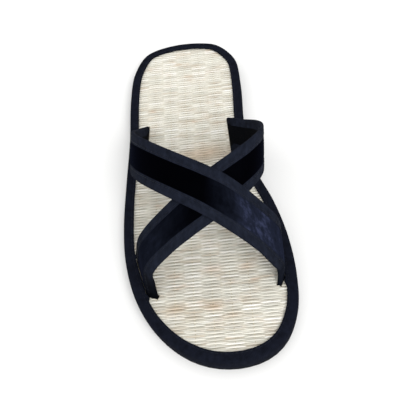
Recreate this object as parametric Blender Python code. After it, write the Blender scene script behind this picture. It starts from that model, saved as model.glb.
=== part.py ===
"""Right house slipper: a foam rubber sole, a mat of woven rush bound with tape, and two crossed straps.

Metres, +Z up. The origin is on the floor in the middle of the slipper, the toe points to -Y and the
big-toe side is at +X. The straps are soft, so nothing here moves.
"""
import math

import bmesh
import bpy
from mathutils import Vector

# Driving dimensions of the sole
LENGTH = 0.2525
BALL_WIDTH = 0.0955
PLATE_THICKNESS = 0.0030
PLATE_EDGE_ROUND = 0.0008
PLATE_INSET = 0.0003
CORE_THICKNESS = 0.0045
MAT_THICKNESS = 0.0020

# Driving dimensions of the binding tape round the edge
RIM_WIDTH = 0.0062
RIM_ROUND = 0.0015
RIM_LIP = 0.0004
BINDING_WALL = 0.0015
BINDING_TOP = 0.0010

# Driving dimensions of the straps
INSTEP_HEIGHT = 0.0580
STRAP_WIDTH = 0.0242
PANEL_THICKNESS = 0.0017
TAPE_STEP = 0.00035
TAPE_WIDTH = 0.0056
PANEL_CROWN = 0.00025
STRAP_COLLAR = 0.0006
ROOT_DEPTH = 0.0046

# Space between neighbouring pieces
CLEARANCE = 0.0003

# Fineness of the meshes
OUTLINE_POINTS = 112
STRAP_STATIONS = 57
ROUND_STEPS = 3

# Heights that follow from the sizes above
CORE_TOP = PLATE_THICKNESS + CORE_THICKNESS
MAT_BOTTOM = CORE_TOP + CLEARANCE
MAT_TOP = MAT_BOTTOM + MAT_THICKNESS
BINDING_BOTTOM = PLATE_THICKNESS + CLEARANCE
RIM_TOP = MAT_TOP + CLEARANCE + BINDING_TOP
CORE_INSET = BINDING_WALL + CLEARANCE

# Outline of the sole. Columns: distance from the heel as a share of LENGTH, then the outer (little-toe)
# and the inner (big-toe) edge as shares of BALL_WIDTH from the line that the shoe is laid out on. The two
# edges meet at the tips of the heel and the toe.
OUTLINE = (
    (0.00, -0.009, -0.009),
    (0.01, -0.188, 0.178),
    (0.03, -0.276, 0.291),
    (0.10, -0.371, 0.400),
    (0.20, -0.416, 0.403),
    (0.35, -0.446, 0.364),
    (0.50, -0.492, 0.362),
    (0.62, -0.524, 0.436),
    (0.72, -0.526, 0.470),
    (0.82, -0.480, 0.466),
    (0.90, -0.381, 0.427),
    (0.96, -0.236, 0.337),
    (0.99, -0.089, 0.221),
    (1.00, 0.072, 0.072),
)

# Section of an edge tape. Columns: place across the tape as a share of TAPE_WIDTH, and height as a share of
# the tape's full height over the middle plane of the strap.
TAPE_SECTION = (
    (0.00, 0.4),
    (0.12, 1.0),
    (1.00, 1.0),
)

# Straps, from the rear end to the front end. Columns: the middle of the strap (across as a share of
# BALL_WIDTH, along as a share of LENGTH from the heel, rise as a share of INSTEP_HEIGHT above the mat),
# then the way from its front edge to its rear edge (to the side, to the heel and up) in STRAP_WIDTHs, and
# how far the front tape is turned in towards the foot, in degrees.
OVER_STRAP = (
    (-0.335, 0.376, 0.00, 0.18, 1.39, 0.00, 0),
    (-0.375, 0.439, 0.27, 0.14, 1.16, 0.21, 0),
    (-0.383, 0.500, 0.52, 0.14, 1.09, 0.33, 0),
    (-0.329, 0.561, 0.71, 0.15, 1.04, 0.40, 0),
    (-0.234, 0.617, 0.84, 0.19, 0.96, 0.44, 0),
    (-0.118, 0.666, 0.91, 0.23, 0.90, 0.47, 0),
    (0.004, 0.703, 0.90, 0.22, 0.94, 0.48, 0),
    (0.132, 0.735, 0.81, 0.14, 1.05, 0.56, 0),
    (0.259, 0.765, 0.64, 0.04, 1.11, 0.61, 2),
    (0.366, 0.782, 0.38, 0.16, 1.10, 0.38, 18),
    (0.397, 0.778, 0.19, 0.11, 1.14, 0.14, 30),
    (0.384, 0.782, 0.00, 0.03, 1.30, 0.00, 30),
)
UNDER_STRAP = (
    (0.255, 0.388, 0.00, 0.06, 1.28, 0.00, 0),
    (0.352, 0.447, 0.18, 0.07, 1.33, 0.03, 0),
    (0.404, 0.502, 0.38, 0.17, 1.14, 0.26, 0),
    (0.402, 0.554, 0.56, 0.17, 0.91, 0.51, 0),
    (0.364, 0.606, 0.72, 0.17, 0.87, 0.61, 0),
    (0.279, 0.655, 0.83, 0.25, 1.00, 0.60, 0),
    (0.140, 0.695, 0.85, 0.44, 1.17, 0.61, 0),
    (-0.020, 0.726, 0.81, 0.49, 1.20, 0.60, 0),
    (-0.189, 0.748, 0.67, 0.27, 1.09, 0.48, 4),
    (-0.371, 0.768, 0.40, -0.06, 1.02, 0.15, 24),
    (-0.404, 0.775, 0.20, -0.17, 1.05, 0.04, 44),
    (-0.4165, 0.775, 0.00, -0.22, 1.22, 0.00, 52),
)

# Colour, roughness and metallic value of each piece
FINISHES = {
    "outsole": ((0.012, 0.013, 0.018, 1.0), 0.75, 0.0),
    "mat": ((0.70, 0.62, 0.47, 1.0), 0.70, 0.0),
    "binding": ((0.010, 0.013, 0.022, 1.0), 0.85, 0.0),
    "upper": ((0.008, 0.009, 0.018, 1.0), 0.90, 0.0),
}


def clear_scene():
    """Takes out whatever the scene held."""
    for old in list(bpy.data.objects):
        bpy.data.objects.remove(old, do_unlink=True)


def material_for(name):
    """Makes the plain material of one piece."""
    colour, roughness, metallic = FINISHES[name]
    material = bpy.data.materials.new(name)
    material.use_nodes = True
    shader = material.node_tree.nodes["Principled BSDF"]
    shader.inputs["Base Color"].default_value = colour
    shader.inputs["Roughness"].default_value = roughness
    shader.inputs["Metallic"].default_value = metallic
    return material


def add_piece(name, mesh):
    """Puts a mesh in the scene as one smooth-shaded piece."""
    piece = bpy.data.objects.new(name, mesh)
    bpy.context.scene.collection.objects.link(piece)
    mesh.shade_smooth()
    mesh.set_sharp_from_angle(angle=math.radians(35))
    mesh.materials.append(material_for(name))
    return piece


def curve_through(points, share, closed=False):
    """Reads a smooth curve through the points at a share of its way, with even steps per point."""
    spans = len(points) if closed else len(points) - 1
    place = share * spans
    index = min(int(place), spans - 1)
    part = place - index

    def at(number):
        if closed:
            return points[number % len(points)]
        if number < 0:
            return points[0] * 2 - points[1]
        if number >= len(points):
            return points[-1] * 2 - points[-2]
        return points[number]

    before, start, end, after = (at(index + step) for step in (-1, 0, 1, 2))
    knots = [0.0]
    for first, second in ((before, start), (start, end), (end, after)):
        knots.append(knots[-1] + max((second - first).length, 1e-9) ** 0.5)
    time = knots[1] + (knots[2] - knots[1]) * part

    def mix(first, second, low, high):
        return first * ((high - time) / (high - low)) + second * ((time - low) / (high - low))

    near = mix(before, start, knots[0], knots[1])
    middle = mix(start, end, knots[1], knots[2])
    far = mix(end, after, knots[2], knots[3])
    return mix(mix(near, middle, knots[0], knots[2]), mix(middle, far, knots[1], knots[3]), knots[1], knots[2])


def even_steps(points, count):
    """Walks round a closed line of points in equal steps."""
    lengths = [0.0]
    for index, point in enumerate(points):
        lengths.append(lengths[-1] + (points[(index + 1) % len(points)] - point).length)
    steps = []
    index = 0
    for number in range(count):
        wanted = lengths[-1] * number / count
        while lengths[index + 1] < wanted:
            index += 1
        part = (wanted - lengths[index]) / (lengths[index + 1] - lengths[index])
        steps.append(points[index].lerp(points[(index + 1) % len(points)], part))
    return steps


def along(share):
    """Turns a share of the length from the heel into a place on the Y axis."""
    return LENGTH * (0.5 - share)


def layout_shift():
    """Moves the line that the shoe is laid out on so that the widest sole is centred on the origin."""
    outer = min(row[1] for row in OUTLINE)
    inner = max(row[2] for row in OUTLINE)
    return -0.5 * (outer + inner) * BALL_WIDTH


def sole_outline():
    """Gives the outer edge of the sole as even points, counter-clockwise from the heel."""
    shift = layout_shift()
    outer = [Vector((row[1] * BALL_WIDTH + shift, along(row[0]))) for row in OUTLINE]
    inner = [Vector((row[2] * BALL_WIDTH + shift, along(row[0]))) for row in OUTLINE[1:-1]]
    corners = outer + inner[::-1]
    fine = OUTLINE_POINTS * 6
    return even_steps([curve_through(corners, number / fine, closed=True) for number in range(fine)],
                      OUTLINE_POINTS)


def inset_ring(outline, inset, height):
    """Pulls the outline in by an even distance, at a height."""
    ring = []
    for index, point in enumerate(outline):
        way = outline[(index + 1) % len(outline)] - outline[index - 1]
        inward = Vector((-way.y, way.x)).normalized()
        place = point + inward * inset
        ring.append(Vector((place.x, place.y, height)))
    return ring


def skin_rings(rings, closed=False):
    """Covers rings of equal count with faces, and caps the ends unless the rings close on themselves."""
    model = bmesh.new()
    loops = [[model.verts.new(point) for point in ring] for ring in rings]
    count = len(loops[0])
    pairs = list(zip(loops, loops[1:]))
    if closed:
        pairs.append((loops[-1], loops[0]))
    for lower, upper in pairs:
        for index in range(count):
            after = (index + 1) % count
            model.faces.new((lower[index], lower[after], upper[after], upper[index]))
    if not closed:
        model.faces.new(loops[0][::-1])
        model.faces.new(loops[-1])
    bmesh.ops.recalc_face_normals(model, faces=model.faces)
    mesh = bpy.data.meshes.new("skin")
    model.to_mesh(mesh)
    model.free()
    return mesh


def round_corner(inset, height, radius, steps=ROUND_STEPS):
    """Gives the inset and height of points along a rounded upper outer corner, from the side to the top."""
    points = []
    for number in range(steps + 1):
        turn = math.radians(90) * number / steps
        points.append((inset + radius * (1 - math.cos(turn)), height - radius * (1 - math.sin(turn))))
    return points


def build_outsole(outline):
    """The rubber sole: a plate with a flat bottom, and a core that stands inside the binding."""
    profile = [
        (PLATE_INSET + PLATE_EDGE_ROUND, 0.0),
        (PLATE_INSET, PLATE_EDGE_ROUND),
        (PLATE_INSET, PLATE_THICKNESS),
        (CORE_INSET, PLATE_THICKNESS),
        (CORE_INSET, CORE_TOP),
    ]
    return add_piece("outsole", skin_rings([inset_ring(outline, *point) for point in profile]))


def build_mat(outline):
    """The insole of woven rush, cut to the shape of the core."""
    profile = [(CORE_INSET, MAT_BOTTOM), (CORE_INSET, MAT_TOP)]
    return add_piece("mat", skin_rings([inset_ring(outline, *point) for point in profile]))


def build_binding(outline):
    """The tape that is folded over the edge of mat and core and hangs down to the plate."""
    profile = [(0.0, BINDING_BOTTOM)]
    profile += round_corner(0.0, RIM_TOP, RIM_ROUND)
    profile += [
        (RIM_WIDTH - RIM_LIP, RIM_TOP),
        (RIM_WIDTH, RIM_TOP - RIM_LIP),
        (RIM_WIDTH, MAT_TOP + CLEARANCE),
        (BINDING_WALL, MAT_TOP + CLEARANCE),
        (BINDING_WALL, BINDING_BOTTOM),
    ]
    return add_piece("binding", skin_rings([inset_ring(outline, *point) for point in profile], closed=True))


def strap_places(table):
    """Turns a strap's table into the places of its middle and its ways from front edge to rear edge."""
    shift = layout_shift()
    middles = []
    ways = []
    for across, share, rise, side, back, up, turn in table:
        height = MAT_TOP + STRAP_COLLAR + rise * (INSTEP_HEIGHT - STRAP_COLLAR)
        middles.append(Vector((across * BALL_WIDTH + shift, along(share), height)))
        ways.append(Vector((side, back, up)) * STRAP_WIDTH)
    return middles, ways


def outward_side(table, ahead, way):
    """Gives the direction of a strap's worn outer face, square to its run and its width."""
    facing = 1 if table[0][0] < table[-1][0] else -1
    return ahead.cross(way).normalized() * facing


def folded_point(middle, way, outward, turn, fold, place, height):
    """Places one point of a strap's section, whose part in front of the fold is turned towards the foot."""
    lengthwise = way.normalized()
    start = middle + way * (fold - 0.5)
    reach = way.length * (place - fold)
    if abs(reach) < CLEARANCE / 100:
        return start - lengthwise * (height * math.tan(turn / 2)) + outward * height
    angle = turn if reach < 0 else 0.0
    forward = reach * math.cos(angle) - height * math.sin(angle)
    raised = reach * math.sin(angle) + height * math.cos(angle)
    return start + lengthwise * forward + outward * raised


def section_corners(tape_share):
    """Gives a strap's section as shares of its width and heights over its middle plane.

    It starts on the worn outer face at the front edge, and goes round over the tapes and the panel.
    """
    panel = PANEL_THICKNESS / 2
    tape = panel + TAPE_STEP
    front = [(place * tape_share, height * tape) for place, height in TAPE_SECTION]
    rear = [(1 - place, height) for place, height in front[::-1]]
    crown = [(tape_share, panel), (0.5, panel + PANEL_CROWN), (1 - tape_share, panel)]
    inner = [(place, -height) for place, height in (front + rear)[::-1]]
    return front + crown + rear + inner


def strap_rings(table):
    """Works out the strap's sections from one root under the mat to the other."""
    middles, ways = strap_places(table)
    turns = [Vector((row[6], 0.0, 0.0)) for row in table]
    rings = []
    for number in range(STRAP_STATIONS + 1):
        share = number / STRAP_STATIONS
        nudge = 0.5 / STRAP_STATIONS
        middle = curve_through(middles, share)
        way = curve_through(ways, share)
        ahead = curve_through(middles, min(share + nudge, 1.0)) - curve_through(middles, max(share - nudge, 0.0))
        ahead.normalize()
        if number == 0:
            ahead = Vector((0.0, 0.0, 1.0))
        if number == STRAP_STATIONS:
            ahead = Vector((0.0, 0.0, -1.0))
        outward = outward_side(table, ahead, way)
        turn = math.radians(curve_through(turns, share).x)
        tape_share = TAPE_WIDTH / (way - ahead * way.dot(ahead)).length
        corners = section_corners(tape_share)
        rings.append([folded_point(middle, way, outward, turn, tape_share, *corner) for corner in corners])
    drop = Vector((0.0, 0.0, -(STRAP_COLLAR + ROOT_DEPTH)))
    return [[point + drop for point in rings[0]]] + rings + [[point + drop for point in rings[-1]]]


def build_upper():
    """Both straps, joined into one solid where the outer-rear strap lies on the other."""
    upper = add_piece("upper", skin_rings(strap_rings(OVER_STRAP)))
    under = bpy.data.objects.new("under_strap", skin_rings(strap_rings(UNDER_STRAP)))
    bpy.context.scene.collection.objects.link(under)
    hide_tool(under)
    cut_or_join(upper, under, "UNION")
    return upper


def hide_tool(tool):
    """Marks a shape that only serves a Boolean."""
    tool.hide_render = True
    tool.display_type = "WIRE"


def cut_or_join(piece, tool, operation):
    """Adds a Boolean modifier to a piece."""
    modifier = piece.modifiers.new(operation.lower(), "BOOLEAN")
    modifier.operation = operation
    modifier.object = tool
    modifier.solver = "EXACT"


def slot_tool(name, middle, way, outward, turn):
    """The room for one strap end: its section grown by the clearance, from under the root up past the mat."""
    half_wall = PANEL_THICKNESS / 2 + TAPE_STEP + CLEARANCE
    spare = CLEARANCE / way.length
    fold = TAPE_WIDTH / way.length
    places = (-spare, fold, 1 + spare)
    corners = [(place, half_wall) for place in places] + [(place, -half_wall) for place in places[::-1]]
    bottom = MAT_TOP - ROOT_DEPTH - CLEARANCE
    top = MAT_TOP + STRAP_COLLAR
    rings = []
    for level in (bottom, top):
        centre = Vector((middle.x, middle.y, level))
        rings.append([folded_point(centre, way, outward, turn, fold, *corner) for corner in corners])
    tool = bpy.data.objects.new(name, skin_rings(rings))
    bpy.context.scene.collection.objects.link(tool)
    hide_tool(tool)
    return tool


def cut_slots(pieces):
    """Cuts the room for the four strap ends out of the mat and the core."""
    for name, table in (("over", OVER_STRAP), ("under", UNDER_STRAP)):
        middles, ways = strap_places(table)
        for end, index, rising in (("rear", 0, 1.0), ("front", -1, -1.0)):
            outward = outward_side(table, Vector((0.0, 0.0, rising)), ways[index])
            turn = math.radians(table[index][6])
            tool = slot_tool(f"{name}_{end}_slot", middles[index], ways[index], outward, turn)
            for piece in pieces:
                cut_or_join(piece, tool, "DIFFERENCE")


def main():
    """Builds the slipper on one empty."""
    clear_scene()
    outline = sole_outline()
    outsole = build_outsole(outline)
    mat = build_mat(outline)
    cut_slots([outsole, mat])
    pieces = [outsole, mat, build_binding(outline), build_upper()]
    slipper = bpy.data.objects.new("slipper", None)
    bpy.context.scene.collection.objects.link(slipper)
    for piece in pieces:
        piece.parent = slipper


main()
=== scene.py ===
# %% [markdown]
# # A woven rush slipper with crossed velvet straps
# The real slipper is sewn by hand in a few layers: a thin foam rubber sole, an insole cut from a mat of
# woven rush, a black cloth tape folded over its edge, and two straps of black velvet that cross over the
# instep. The solids of the part give the sizes. This lesson dresses each of them in its own material.

# %% The frame and the measured box of the solids
import math

import bpy
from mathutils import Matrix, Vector, noise


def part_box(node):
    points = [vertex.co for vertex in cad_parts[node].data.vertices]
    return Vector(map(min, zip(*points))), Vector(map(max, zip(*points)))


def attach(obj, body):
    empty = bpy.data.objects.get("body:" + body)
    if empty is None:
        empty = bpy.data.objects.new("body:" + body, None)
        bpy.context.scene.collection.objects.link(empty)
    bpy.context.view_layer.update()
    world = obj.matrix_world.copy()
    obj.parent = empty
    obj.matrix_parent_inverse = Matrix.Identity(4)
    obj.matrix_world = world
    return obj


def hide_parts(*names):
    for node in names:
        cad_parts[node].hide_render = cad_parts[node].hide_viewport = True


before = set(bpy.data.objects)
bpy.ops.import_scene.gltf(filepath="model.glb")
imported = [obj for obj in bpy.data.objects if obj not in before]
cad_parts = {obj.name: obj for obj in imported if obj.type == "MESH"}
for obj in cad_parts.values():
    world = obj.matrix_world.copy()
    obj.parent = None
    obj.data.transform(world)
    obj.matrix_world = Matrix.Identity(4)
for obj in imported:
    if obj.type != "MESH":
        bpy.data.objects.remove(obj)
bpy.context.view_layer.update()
print("solids:", ", ".join(sorted(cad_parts)))

# %% [markdown]
# ## Sizes that every layer shares
# The sole is laid out along one line, as a pattern cutter draws it: at each share of the length, how far
# out the little-toe side goes and how far the big-toe side. The straps are short tables too: where the
# middle of the strap runs, and how the strap lies across. All of it is in metres or in shares of a size.

# %% Sizes of the pattern
LENGTH = 0.2525
BALL_WIDTH = 0.0955
INSTEP_HEIGHT = 0.0580
STRAP_WIDTH = 0.0242
STRAP_COLLAR = 0.0006
ROOT_DEPTH = 0.0046
PANEL_THICKNESS = 0.0017
TAPE_STEP = 0.00035
TAPE_WIDTH = 0.0056
RIM_WIDTH = 0.0062
BINDING_WALL = 0.0015
CLEARANCE = 0.0003
MAT_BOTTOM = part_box("mat")[0].z
MAT_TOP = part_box("mat")[1].z
BINDING_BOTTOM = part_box("binding")[0].z
RIM_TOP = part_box("binding")[1].z
print(f"mat from {MAT_BOTTOM * 1000:.1f} to {MAT_TOP * 1000:.1f} mm, rim up to {RIM_TOP * 1000:.1f} mm")

# Columns: share of the length from the heel, outer edge and inner edge in ball widths.
OUTLINE = (
    (0.00, -0.009, -0.009),
    (0.01, -0.188, 0.178),
    (0.03, -0.276, 0.291),
    (0.10, -0.371, 0.400),
    (0.20, -0.416, 0.403),
    (0.35, -0.446, 0.364),
    (0.50, -0.492, 0.362),
    (0.62, -0.524, 0.436),
    (0.72, -0.526, 0.470),
    (0.82, -0.480, 0.466),
    (0.90, -0.381, 0.427),
    (0.96, -0.236, 0.337),
    (0.99, -0.089, 0.221),
    (1.00, 0.072, 0.072),
)
# Columns: middle of the strap (across, along, rise), then its way from front to rear edge (side, back, up)
# and the turn of its front tape towards the foot, in degrees.
OVER_STRAP = (
    (-0.335, 0.376, 0.00, 0.18, 1.39, 0.00, 0),
    (-0.375, 0.439, 0.27, 0.14, 1.16, 0.21, 0),
    (-0.383, 0.500, 0.52, 0.14, 1.09, 0.33, 0),
    (-0.329, 0.561, 0.71, 0.15, 1.04, 0.40, 0),
    (-0.234, 0.617, 0.84, 0.19, 0.96, 0.44, 0),
    (-0.118, 0.666, 0.91, 0.23, 0.90, 0.47, 0),
    (0.004, 0.703, 0.90, 0.22, 0.94, 0.48, 0),
    (0.132, 0.735, 0.81, 0.14, 1.05, 0.56, 0),
    (0.259, 0.765, 0.64, 0.04, 1.11, 0.61, 2),
    (0.366, 0.782, 0.38, 0.16, 1.10, 0.38, 18),
    (0.397, 0.778, 0.19, 0.11, 1.14, 0.14, 30),
    (0.384, 0.782, 0.00, 0.03, 1.30, 0.00, 30),
)
UNDER_STRAP = (
    (0.255, 0.388, 0.00, 0.06, 1.28, 0.00, 0),
    (0.352, 0.447, 0.18, 0.07, 1.33, 0.03, 0),
    (0.404, 0.502, 0.38, 0.17, 1.14, 0.26, 0),
    (0.402, 0.554, 0.56, 0.17, 0.91, 0.51, 0),
    (0.364, 0.606, 0.72, 0.17, 0.87, 0.61, 0),
    (0.279, 0.655, 0.83, 0.25, 1.00, 0.60, 0),
    (0.140, 0.695, 0.85, 0.44, 1.17, 0.61, 0),
    (-0.020, 0.726, 0.81, 0.49, 1.20, 0.60, 0),
    (-0.189, 0.748, 0.67, 0.27, 1.09, 0.48, 4),
    (-0.371, 0.768, 0.40, -0.06, 1.02, 0.15, 24),
    (-0.404, 0.775, 0.20, -0.17, 1.05, 0.04, 44),
    (-0.4165, 0.775, 0.00, -0.22, 1.22, 0.00, 52),
)
LAYOUT_SHIFT = -0.5 * (min(row[1] for row in OUTLINE) + max(row[2] for row in OUTLINE)) * BALL_WIDTH

# %% [markdown]
# ## Small helpers
# A smooth line through a few hand-set points is what a bent strip of wood does on paper. Here it is a
# spline that goes through every point. A node helper keeps each material to a few lines.


# %% A smooth line through points
def curve_through(points, share, closed=False):
    """Reads a smooth curve through the points at a share of its way."""
    spans = len(points) if closed else len(points) - 1
    place = share * spans
    index = min(int(place), spans - 1)
    part = place - index

    def at(number):
        if closed:
            return points[number % len(points)]
        if number < 0:
            return points[0] * 2 - points[1]
        if number >= len(points):
            return points[-1] * 2 - points[-2]
        return points[number]

    before, start, end, after = (at(index + step) for step in (-1, 0, 1, 2))
    knots = [0.0]
    for first, second in ((before, start), (start, end), (end, after)):
        knots.append(knots[-1] + max((second - first).length, 1e-9) ** 0.5)
    time = knots[1] + (knots[2] - knots[1]) * part

    def mix(first, second, low, high):
        return first * ((high - time) / (high - low)) + second * ((time - low) / (high - low))

    near = mix(before, start, knots[0], knots[1])
    middle = mix(start, end, knots[1], knots[2])
    far = mix(end, after, knots[2], knots[3])
    first = mix(near, middle, knots[0], knots[2])
    second = mix(middle, far, knots[1], knots[3])
    return mix(first, second, knots[1], knots[2])


def way_round(points):
    """Adds up the way round a closed line of points, from the first point back to it."""
    way = [0.0]
    for index, point in enumerate(points):
        way.append(way[-1] + (points[(index + 1) % len(points)] - point).length)
    return way


def even_steps(points, count):
    """Walks round a closed line of points in equal steps."""
    lengths = way_round(points)
    steps = []
    index = 0
    for number in range(count):
        wanted = lengths[-1] * number / count
        while lengths[index + 1] < wanted:
            index += 1
        part = (wanted - lengths[index]) / (lengths[index + 1] - lengths[index])
        steps.append(points[index].lerp(points[(index + 1) % len(points)], part))
    return steps


# %% The outline of the sole
OUTLINE_STEPS = 560
FINE_STEPS = OUTLINE_STEPS * 3


def edge_points(rows, column):
    """Gives one side of the sole's table as points."""
    return [Vector((row[column] * BALL_WIDTH + LAYOUT_SHIFT, LENGTH * (0.5 - row[0]))) for row in rows]


corners = edge_points(OUTLINE, 1) + edge_points(OUTLINE[1:-1], 2)[::-1]
fine_outline = [curve_through(corners, number / FINE_STEPS, closed=True) for number in range(FINE_STEPS)]
outline = even_steps(fine_outline, OUTLINE_STEPS)
inward_ways = []
for index in range(OUTLINE_STEPS):
    way = outline[(index + 1) % OUTLINE_STEPS] - outline[index - 1]
    inward_ways.append(Vector((-way.y, way.x)).normalized())


def inset_ring(inset, height):
    """Pulls the outline in by an even distance, at a height."""
    return [Vector((*(point + inward * inset), height)) for point, inward in zip(outline, inward_ways)]


# %% Colours and nodes
MULTIPLY = {"data_type": "RGBA", "blend_type": "MULTIPLY"}
# A Wave texture makes its place this much larger before it takes the sine.
WAVE_FACTOR = 20.0


def colour(code):
    """Turns an sRGB hex value into the linear colour that a shader takes."""
    linear = []
    for place in (1, 3, 5):
        share = int(code[place:place + 2], 16) / 255
        linear.append(share / 12.92 if share <= 0.04045 else ((share + 0.055) / 1.055) ** 2.4)
    return (*linear, 1.0)


def feed(tree, node, settings):
    """Sets a node. Each setting is a property, an input's value, or the node or output to link there."""
    for key, value in dict(settings).items():
        if isinstance(value, bpy.types.Node):
            value = value.outputs[0]
        if isinstance(value, bpy.types.NodeSocket):
            tree.links.new(value, node.inputs[key])
        elif isinstance(key, str) and hasattr(node, key):
            setattr(node, key, value)
        else:
            node.inputs[key].default_value = value
    return node


def add_node(tree, kind, settings=()):
    """Adds a node with its settings and links."""
    return feed(tree, tree.nodes.new(kind), settings)


def new_material(name, base, roughness, settings):
    """Starts a material from the base colour, roughness and other values of the real stuff."""
    material = bpy.data.materials.new(name)
    material.use_nodes = True
    shader = material.node_tree.nodes["Principled BSDF"]
    feed(material.node_tree, shader, {"Base Color": colour(base), "Roughness": roughness, **settings})
    return material, material.node_tree, shader


def fill_ramp(node, stops):
    """Sets the stops of a colour ramp from pairs of place and hex value."""
    ramp = node.color_ramp
    while len(ramp.elements) > 1:
        ramp.elements.remove(ramp.elements[-1])
    for number, (place, code) in enumerate(stops):
        element = ramp.elements[0] if number == 0 else ramp.elements.new(place)
        element.position = place
        element.color = colour(code)
    return node


def speckled_material(name, base, roughness, shine, scale, detail, stops):
    """Makes a material whose colour wavers between two tones, by a noise in real size."""
    material, tree, shader = new_material(name, base, roughness, {"Specular IOR Level": shine})
    place = add_node(tree, "ShaderNodeTexCoord")
    speck = add_node(tree, "ShaderNodeTexNoise", {
        "Scale": scale, "Detail": detail, "Vector": place.outputs["Object"]})
    shades = fill_ramp(add_node(tree, "ShaderNodeValToRGB", {"Fac": speck.outputs["Fac"]}), stops)
    feed(tree, shader, {"Base Color": shades})
    return material, tree, shader


def band_scale(period):
    """Gives the scale of a Wave texture whose bands repeat after a real distance."""
    return math.tau / WAVE_FACTOR / period


# %% Meshes from rings, with a measured UV map
CREASE_ANGLE = math.radians(50)


def skin_rings(name, rings, across, closed_run=False, painted_lights=None):
    """Covers rings of equal count with faces. The UV map holds metres along the run and round the ring."""
    count = len(rings[0])
    run = way_round([ring[0] for ring in rings])
    spans = len(rings) if closed_run else len(rings) - 1
    points = [point for ring in rings for point in ring]
    faces = []
    maps = []
    for span in range(spans):
        low = span * count
        high = ((span + 1) % len(rings)) * count
        for index in range(count):
            after = (index + 1) % count
            faces.append((low + index, low + after, high + after, high + index))
            maps.append(((run[span], across[index]), (run[span], across[index + 1]),
                         (run[span + 1], across[index + 1]), (run[span + 1], across[index])))
    if not closed_run:
        faces.append(tuple(range(count))[::-1])
        maps.append(tuple((run[0], across[index]) for index in range(count))[::-1])
        faces.append(tuple(range(low + count, low + 2 * count)))
        maps.append(tuple((run[spans], across[index]) for index in range(count)))
    mesh = bpy.data.meshes.new(name)
    mesh.from_pydata(points, [], faces)
    layer = mesh.uv_layers.new(name="cloth")
    for corner, pair in enumerate(pair for face_map in maps for pair in face_map):
        layer.data[corner].uv = pair
    # A value on every point can carry painted light: painted sheen on the velvet, painted shade on the strap
    # tapes.
    if painted_lights is not None:
        mesh.attributes.new("painted_light", "FLOAT", "POINT").data.foreach_set("value", painted_lights)
    if signed_volume(mesh) < 0:
        mesh.flip_normals()
    mesh.shade_smooth()
    mesh.set_sharp_from_angle(angle=CREASE_ANGLE)
    return mesh


def signed_volume(mesh):
    """Measures the room inside a closed mesh: below nothing if its faces point inwards."""
    mesh.calc_loop_triangles()
    total = 0.0
    for triangle in mesh.loop_triangles:
        first, second, third = (mesh.vertices[corner].co for corner in triangle.vertices)
        total += first.dot(second.cross(third)) / 6
    return total


# %% Pieces in the scene
def show(name, data):
    """Puts an object with this data in the scene."""
    thing = bpy.data.objects.new(name, data)
    bpy.context.scene.collection.objects.link(thing)
    return thing


def place_piece(name, mesh, material, node):
    """Puts a finished mesh on the slipper's one body, where it takes the place of a solid."""
    mesh.materials.clear()
    mesh.materials.append(material)
    piece = show(name, mesh)
    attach(piece, "root")
    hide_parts(node)
    print(f"{name}: {sum(len(face.vertices) - 2 for face in mesh.polygons)} triangles")
    return piece


def cloth_area(piece):
    """Gives the area of one side of a thin closed piece."""
    return sum(face.area for face in piece.data.polygons) / 2


def finished_mesh(thing):
    """Gives an object's mesh as its modifiers leave it."""
    bpy.context.view_layer.update()
    graph = bpy.context.evaluated_depsgraph_get()
    return bpy.data.meshes.new_from_object(thing.evaluated_get(graph), preserve_all_data_layers=True,
                                           depsgraph=graph)


# %% [markdown]
# ## Camera, floor and light
# The photograph looks down on the slipper from the toe, on white paper in soft daylight. The camera
# stands where the perspective of the sole puts it, and is turned, not shifted, until the slipper is in
# the middle. One broad lamp stands in front of the toe, a little to the big-toe side, so the mat is
# bright and the straps throw a soft shade behind the crossing.

# %% The camera
CAMERA_PLACE = Vector((0.0079, -0.2390, 0.3045))
CAMERA_TURN = math.radians(11.83)
CAMERA_TILT = math.radians(53.51)
FRAME_CENTRE = (-0.1275, 0.0275)

camera_data = bpy.data.cameras.new("camera")
camera = show("camera", camera_data)
camera_data.sensor_width = 36.0
camera_data.lens = 51.55
camera_data.clip_start = 0.01
level_part = math.cos(CAMERA_TILT)
ahead = Vector((math.sin(CAMERA_TURN) * level_part, math.cos(CAMERA_TURN) * level_part,
                -math.sin(CAMERA_TILT)))
right = ahead.cross(Vector((0, 0, 1))).normalized()
down = ahead.cross(right)
aim = (right * FRAME_CENTRE[0] + down * FRAME_CENTRE[1] + ahead).normalized()
level = ahead.to_track_quat("-Z", "Y")
camera.rotation_mode = "QUATERNION"
camera.rotation_quaternion = ahead.rotation_difference(aim) @ level
camera.location = CAMERA_PLACE
bpy.context.scene.camera = camera
print(f"the camera stands {CAMERA_PLACE.z * 1000:.0f} mm over the floor")

# %% The floor and the light
FLOOR_REACH = 2.0
ROOM_LIGHT = 0.97
LAMP_PLACE = Vector((0.60, -1.60, 1.70))
LAMP_SIDE = 1.2
LAMP_WATTS = 30.0

bpy.context.scene.view_settings.view_transform = "Standard"
floor_mesh = bpy.data.meshes.new("studio_floor")
floor_mesh.from_pydata([(across * FLOOR_REACH, back * FLOOR_REACH, 0) for across, back in (
    (-1, -1), (1, -1), (1, 1), (-1, 1))], [], [(0, 1, 2, 3)])
paper = new_material("white_studio_paper", "#f4f4f3", 0.9, {"Specular IOR Level": 0.1})[0]
floor_mesh.materials.append(paper)
floor = show("studio_floor", floor_mesh)

world = bpy.data.worlds.new("white_room")
world.use_nodes = True
feed(world.node_tree, world.node_tree.nodes["Background"], {
    "Color": (1.0, 1.0, 1.0, 1.0), "Strength": ROOM_LIGHT})
bpy.context.scene.world = world

lamp_data = bpy.data.lights.new("window_lamp", "AREA")
lamp_data.size = LAMP_SIDE
lamp_data.energy = LAMP_WATTS
lamp = show("window_lamp", lamp_data)
lamp.location = LAMP_PLACE
lamp.rotation_mode = "QUATERNION"
lamp.rotation_quaternion = (-LAMP_PLACE).to_track_quat("-Z", "Y")

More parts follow.
